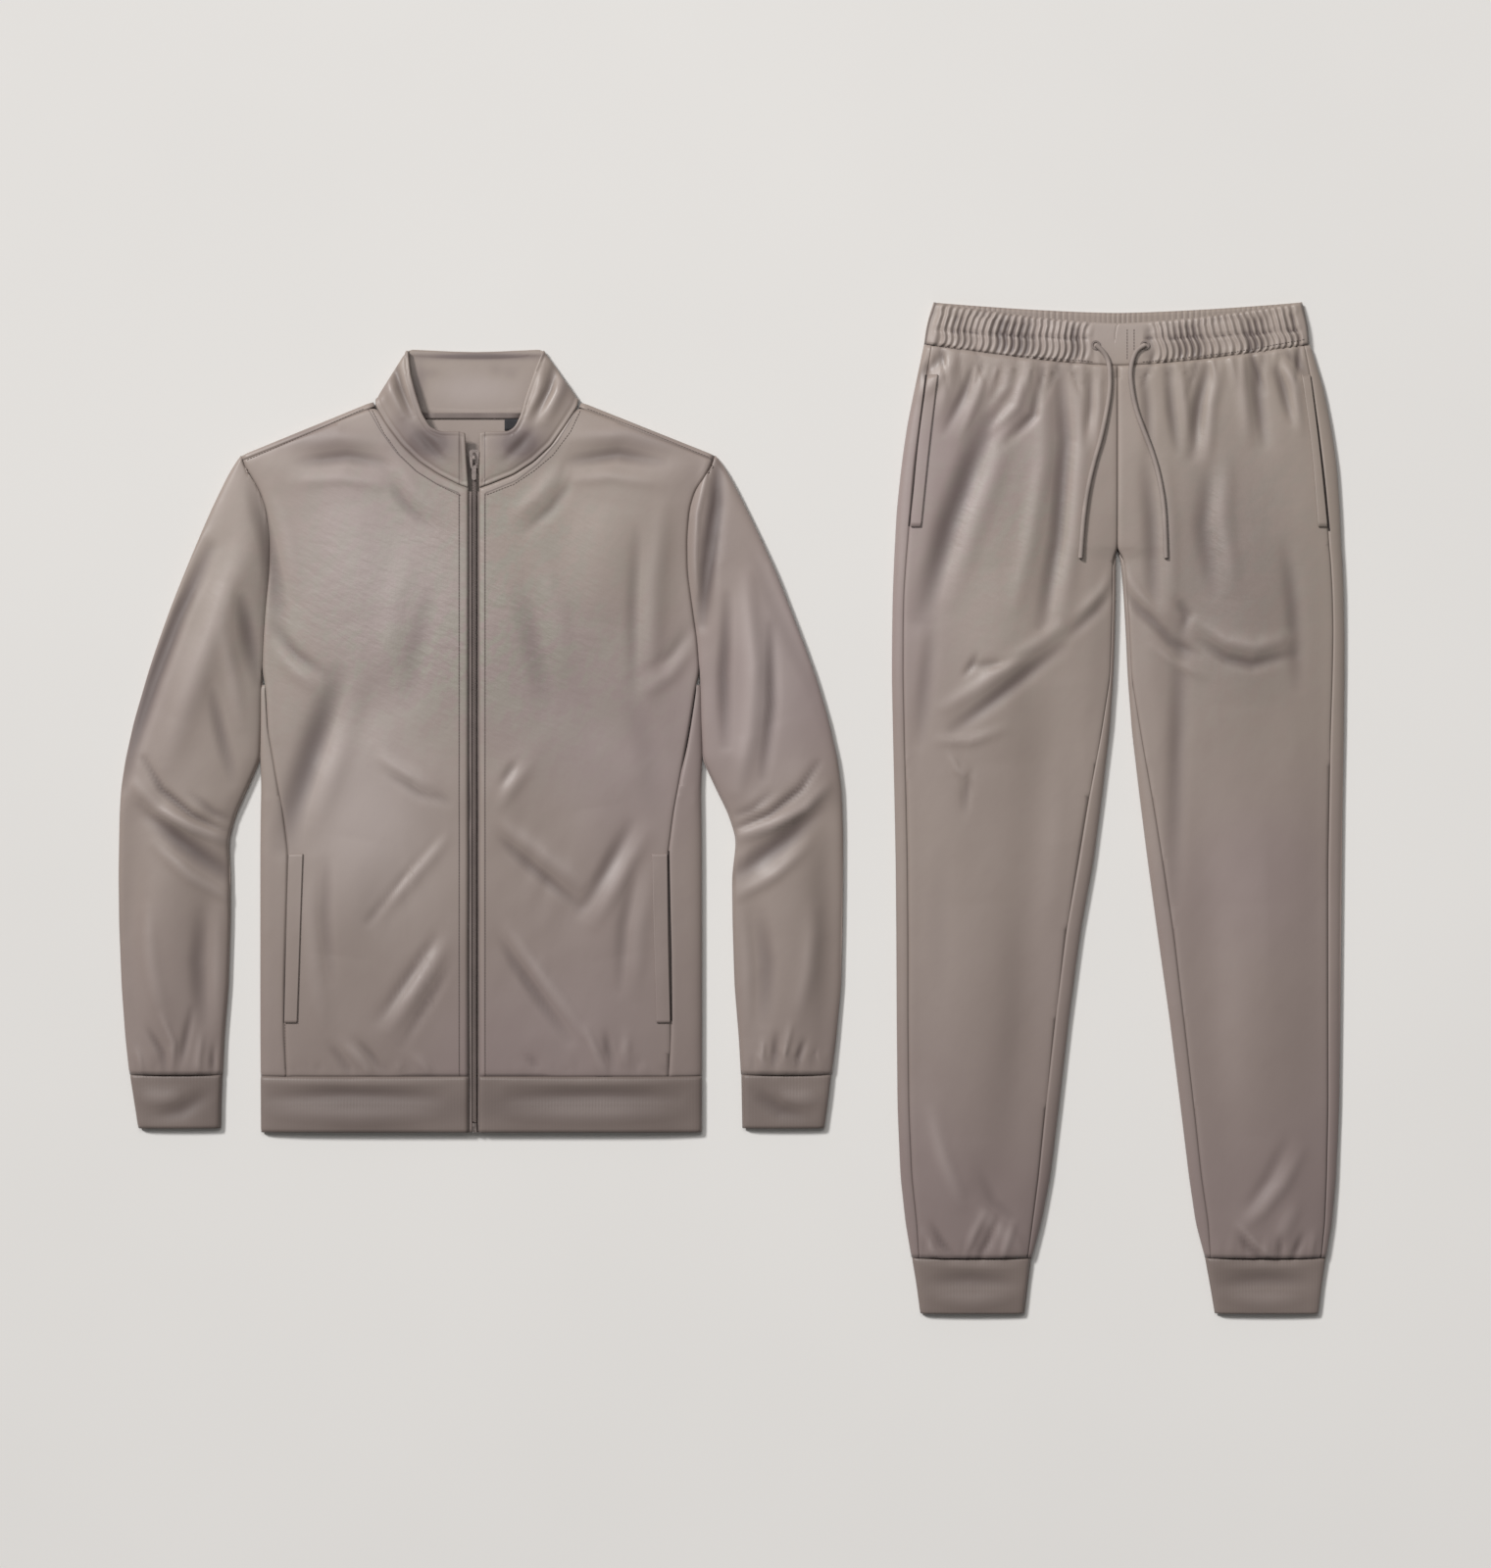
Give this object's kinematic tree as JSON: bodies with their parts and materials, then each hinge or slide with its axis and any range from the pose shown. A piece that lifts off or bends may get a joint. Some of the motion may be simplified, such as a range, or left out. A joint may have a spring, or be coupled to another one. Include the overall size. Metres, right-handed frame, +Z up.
{
  "type": "tracksuit",
  "caption": "Two-piece tracksuit laid flat: full-zip jacket with stand collar, side panels and welt pockets, beside gathered-waist joggers with drawcord and cuffs.",
  "frame": {"origin": "middle of the set's footprint, on the surface it lies on, between the jacket and the joggers", "axes": "+X from the jacket to the joggers, +Y from the hems to the neck and waist, +Z up off the surface"},
  "size_m": [1.2514, 1.0316, 0.0214],
  "materials": {
    "cloth": "satin tricot",
    "rib": "matte rib",
    "zip_cloth": "woven tape",
    "zip_metal": "dark, satin",
    "cord": "braided, matte",
    "label": "woven, plain"
  },
  "bodies": {
    "garments": {"jacket_back": "cloth", "collar": "cloth", "waistband_front": "cloth", "waistband_back": "cloth", "jacket_front_right": "cloth", "side_panel_right": "cloth", "shoulder_strip_right": "cloth", "sleeve_right": "cloth", "jacket_welt_right": "cloth", "leg_front_right": "cloth", "leg_back_right": "cloth", "jogger_welt_right": "cloth", "jacket_front_left": "cloth", "side_panel_left": "cloth", "shoulder_strip_left": "cloth", "sleeve_left": "cloth", "jacket_welt_left": "cloth", "leg_front_left": "cloth", "leg_back_left": "cloth", "jogger_welt_left": "cloth", "hem_band": "rib", "sleeve_cuff_right": "rib", "ankle_cuff_right": "rib", "eyelet_right": "rib", "sleeve_cuff_left": "rib", "ankle_cuff_left": "rib", "eyelet_left": "rib", "neck_tape": "zip_cloth", "zip_tape_right": "zip_cloth", "zip_tape_left": "zip_cloth", "zip_chain": "zip_metal", "zip_box": "zip_metal", "zip_slider": "zip_metal", "drawcord_right": "cord", "drawcord_left": "cord", "neck_label": "label"},
    "zip_pull": {"zip_pull": "zip_metal"}
  },
  "joints": [
    {"name": "zip_pull_swing", "type": "hinge", "parent": "garments", "child": "zip_pull", "pos_m": [-0.26185, 0.35516, 0.01832], "axis": [-1, 0, 0], "range_deg": [0, 150]}
  ]
}
